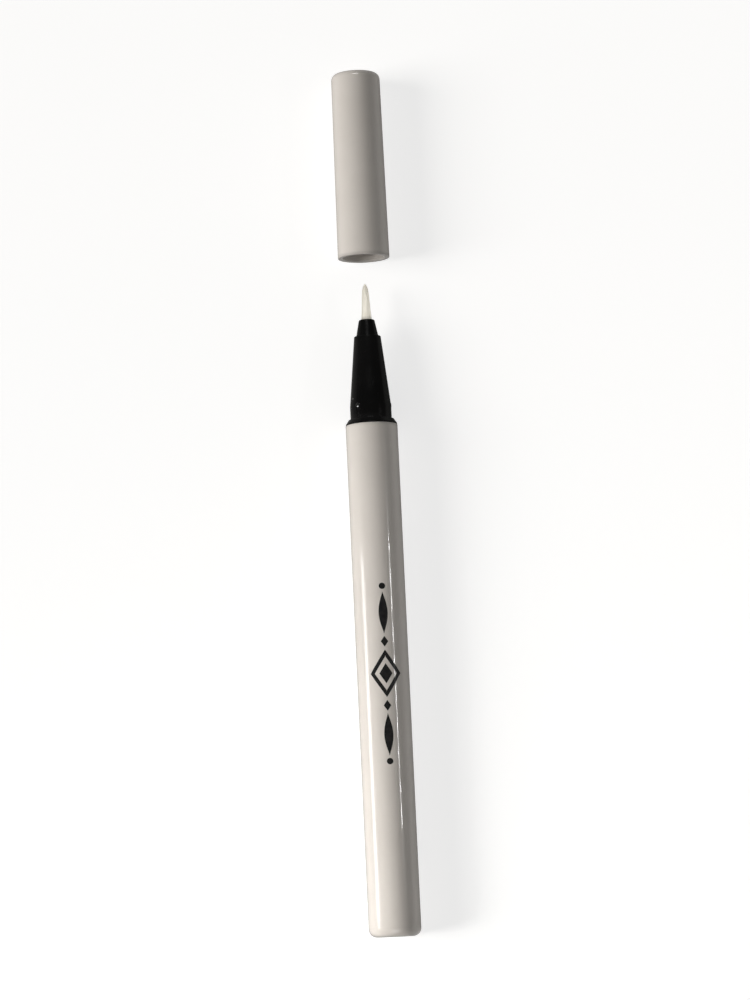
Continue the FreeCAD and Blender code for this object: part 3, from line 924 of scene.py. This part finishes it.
FILAMENT_WHITE = fibrous_finish(
    "filament_white", light=(0.93, 0.91, 0.85), shade=(0.82, 0.795, 0.72),
    gloss=0.42, streaks=1.0, ridge=0.01, root=(HOLDER_FRONT, 0.9),
)
CORE_FIBRE = fibrous_finish(
    "core_fibre", light=(0.11, 0.105, 0.11), shade=(0.05, 0.048, 0.05),
    gloss=0.7, streaks=0.7, ridge=0.04,
)
PRINT_INK = print_ink()
BALL_STEEL = ball_finish()


def dress_pen():
    """The pen's pieces that stand for CAD nodes, its print, and the finishes of the nodes that stay."""
    piece("barrel_shell", turned(barrel_outline()), BARREL_WHITE, "pen", "white_shell", "barrel")
    piece("tail_button", turned(tail_outline()), BARREL_WHITE, "pen", "white_shell", "tail_plug")
    piece("front_sleeve", turned(sleeve_outline()), SLEEVE_BLACK, "pen", "black_front", "section")
    piece("click_nubs", click_nubs(), NUB_BLACK, "pen", "black_front")
    piece("brush_nose", turned(nose_outline()), SLEEVE_BLACK, "pen", "black_front", "nib_holder")
    piece("brush_core", turned(brush_core_outline()), FILAMENT_WHITE, "pen", "filament", "brush_tip")
    layers = joined(*(filament_layer(*layer) for layer in FILAMENT_LAYERS))
    piece("brush_filaments", layers, FILAMENT_WHITE, "pen", "filament")
    for name, shape in (("barrel_ornament", ornament()), ("barrel_small_rules", small_rules())):
        printed = piece(name, shape, PRINT_INK, "pen", "black_front")
        layer = printed.modifiers.new("ink_layer", "SOLIDIFY")
        layer.thickness = INK_DEPTH * MM
        layer.offset = -1
    finishes = {
        "ink_tank": TANK_MILKY,
        "tank_stopper": STOPPER_SOFT,
        "collector": FEED_BLACK,
        "fibre_core": CORE_FIBRE,
        "mixing_ball": BALL_STEEL,
    }
    for node, material in finishes.items():
        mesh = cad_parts[node].data
        mesh.materials.clear()
        mesh.materials.append(material)


def dress_cap():
    """The cap's white cup and the black liner inside it."""
    piece("cap_cup", turned(cap_outline()), CAP_WHITE, "cap", "white_shell", "cap_shell")
    piece("cap_inner_cup", turned(liner_outline()), LINER_BLACK, "cap", "black_front", "cap_liner")


# Studio, in metres
FLOOR_HALF_WIDTH = 20.0
FLOOR_ROWS = 5
FLOOR_TONES = ((0.5, 0.5, 0.5), (0.53, 0.53, 0.53))
FLOOR_TONE_SCALE = 6.0
FLOOR_ROUGHNESS = 0.6
FLOOR_UNEVEN = 0.1
FLOOR_GLOW = 0.72
FLOOR_BOUNCE = 0.3
SKY_COLOUR = (1, 0.985, 0.94, 1)
SKY_STRENGTH = 0.13
KEY_COLOUR = (1, 0.975, 0.93)
SUN_HEIGHT_ANGLE = math.radians(31)
SUN_SOFTNESS = math.radians(30)
TAIL_LAMP_BEAM = math.radians(30)
STRIP_BEAM = math.radians(60)
DASH_PLACES = np.linspace(0.0455, 0.1295, 10)
DASH_AIM = 0.6
CARD_PLACES = {"tail_card": -0.74, "brush_card": 0.9}
PEN_LEAN = math.radians(2.66)
CAMERA_HEIGHT_ANGLE = math.radians(83)
CAMERA_DISTANCE = 0.8
CAMERA_LENS = 150
CAMERA_AIM = Vector((0, 0.0835, 0))


def studio_floor():
    """A wide, flat, pale floor under the pen, with a faint change of tone.

    It glows for the camera, and less for the pen, whose lower sides it lights.
    """
    material, tree, shader, place = new_finish("floor_pale", {"Specular IOR Level": 0.0})
    tone = noise(tree, place, FLOOR_TONE_SCALE)
    rough = math_node(tree, "MULTIPLY_ADD", tone, FLOOR_UNEVEN, FLOOR_ROUGHNESS)
    tree.links.new(colour_mix(tree, tone, *FLOOR_TONES), shader.inputs["Base Color"])
    tree.links.new(rough, shader.inputs["Roughness"])
    shader.inputs["Emission Color"].default_value = (1, 1, 1, 1)
    path = tree.nodes.new("ShaderNodeLightPath").outputs
    bounce = math_node(tree, "MULTIPLY", path["Is Diffuse Ray"], FLOOR_BOUNCE)
    glow = math_node(tree, "MULTIPLY_ADD", path["Is Camera Ray"], FLOOR_GLOW, bounce)
    tree.links.new(glow, shader.inputs["Emission Strength"])
    material.cycles.emission_sampling = "NONE"
    side = np.linspace(-FLOOR_HALF_WIDTH, FLOOR_HALF_WIDTH, FLOOR_ROWS)
    x, y = np.meshgrid(side, side, indexing="ij")
    points = np.stack([x, y, np.full_like(x, CAD_LOW.z)], axis=-1).reshape(-1, 3)
    index = np.arange(x.size).reshape(x.shape)
    quads = np.stack([index[:-1, :-1], index[1:, :-1], index[1:, 1:], index[:-1, 1:]], axis=-1)
    mesh = bpy.data.meshes.new("studio_floor")
    mesh.from_pydata(points.tolist(), [], quads.reshape(-1, 4).tolist())
    mesh.materials.append(material)
    floor = bpy.data.objects.new("studio_floor", mesh)
    bpy.context.scene.collection.objects.link(floor)


def place_lamp(name, kind, place, aim, **settings):
    """A light that faces a point and that the camera doesn't see."""
    lamp = bpy.data.lights.new(name, kind)
    for setting, value in settings.items():
        setattr(lamp, setting, value)
    made = bpy.data.objects.new(name, lamp)
    made.location = place
    made.rotation_mode = "QUATERNION"
    made.rotation_quaternion = (Vector(aim) - Vector(place)).to_track_quat("-Z", "Y")
    made.visible_camera = False
    bpy.context.scene.collection.objects.link(made)
    return made


def strip(name, place, aim, length, width, power):
    """A narrow-beamed rectangular light, for a highlight."""
    return place_lamp(
        name, "AREA", place, aim, shape="RECTANGLE", size=length, size_y=width, energy=power,
        spread=STRIP_BEAM,
    )


def studio_light():
    """A soft sun low on the left and a dim sky, with lamps for the tail and the brush, and highlights.

    The brush lamp lights the brush alone. The dashes give the broken highlight on the right, and the cards
    are seen in the gloss alone.
    """
    world = bpy.data.worlds.new("studio")
    bpy.context.scene.world = world
    world.use_nodes = True
    sky = world.node_tree.nodes["Background"].inputs
    sky["Color"].default_value = SKY_COLOUR
    sky["Strength"].default_value = SKY_STRENGTH
    sun_place = (-math.cos(SUN_HEIGHT_ANGLE), 0, math.sin(SUN_HEIGHT_ANGLE))
    sun = place_lamp(
        "soft_sun", "SUN", place=sun_place, aim=(0, 0, 0), angle=SUN_SOFTNESS, energy=1.9,
        color=KEY_COLOUR,
    )
    tail_lamp = place_lamp(
        "tail_lamp", "AREA", place=(-0.36, -0.06, 0.22), aim=(0, -0.02, 0), size=0.08, energy=0.02,
        color=KEY_COLOUR, spread=TAIL_LAMP_BEAM,
    )
    brush_lamp = place_lamp(
        "brush_lamp", "AREA", place=(0.2, 0.15, 0.36), aim=(0, 0.122, 0), size=0.1, energy=0.95,
        color=KEY_COLOUR,
    )
    brush = bpy.data.collections.new("lit_brush")
    for name in ("brush_core", "brush_filaments"):
        brush.objects.link(bpy.data.objects[name])
    brush_lamp.light_linking.receiver_collection = brush
    for lamp in (sun, tail_lamp, brush_lamp):
        lamp.visible_glossy = False
    strip(
        "long_strip", place=(-0.46, 0.064, 0.13), aim=(0, 0.04, 0), length=0.12, width=0.13, power=0.035,
    )
    for number, along in enumerate(DASH_PLACES.tolist()):
        strip(
            f"right_dash_{number}", place=(0.4, along, 0.3), aim=(0, DASH_AIM * along, 0),
            length=0.0048, width=0.036, power=0.0014,
        )
    for name, along in CARD_PLACES.items():
        card = strip(
            name, place=(0, along, 0.84), aim=(0, 0.08, 0), length=0.5, width=0.26, power=0.39,
        )
        card.visible_diffuse = False
    bpy.context.scene.view_settings.view_transform = "Standard"


def photo_camera():
    """A long lens nearly straight above, a little towards the tail, with the pen leaning slightly left."""
    lens = bpy.data.cameras.new("photo_camera")
    lens.lens = CAMERA_LENS
    camera = bpy.data.objects.new("photo_camera", lens)
    flat = math.cos(CAMERA_HEIGHT_ANGLE)
    back = Vector((-math.sin(PEN_LEAN) * flat, -math.cos(PEN_LEAN) * flat, math.sin(CAMERA_HEIGHT_ANGLE)))
    camera.location = CAMERA_AIM + back * CAMERA_DISTANCE
    camera.rotation_mode = "QUATERNION"
    camera.rotation_quaternion = (-back).to_track_quat("-Z", "Y")
    bpy.context.scene.collection.objects.link(camera)
    bpy.context.scene.camera = camera


dress_pen()
dress_cap()
studio_floor()
studio_light()
photo_camera()
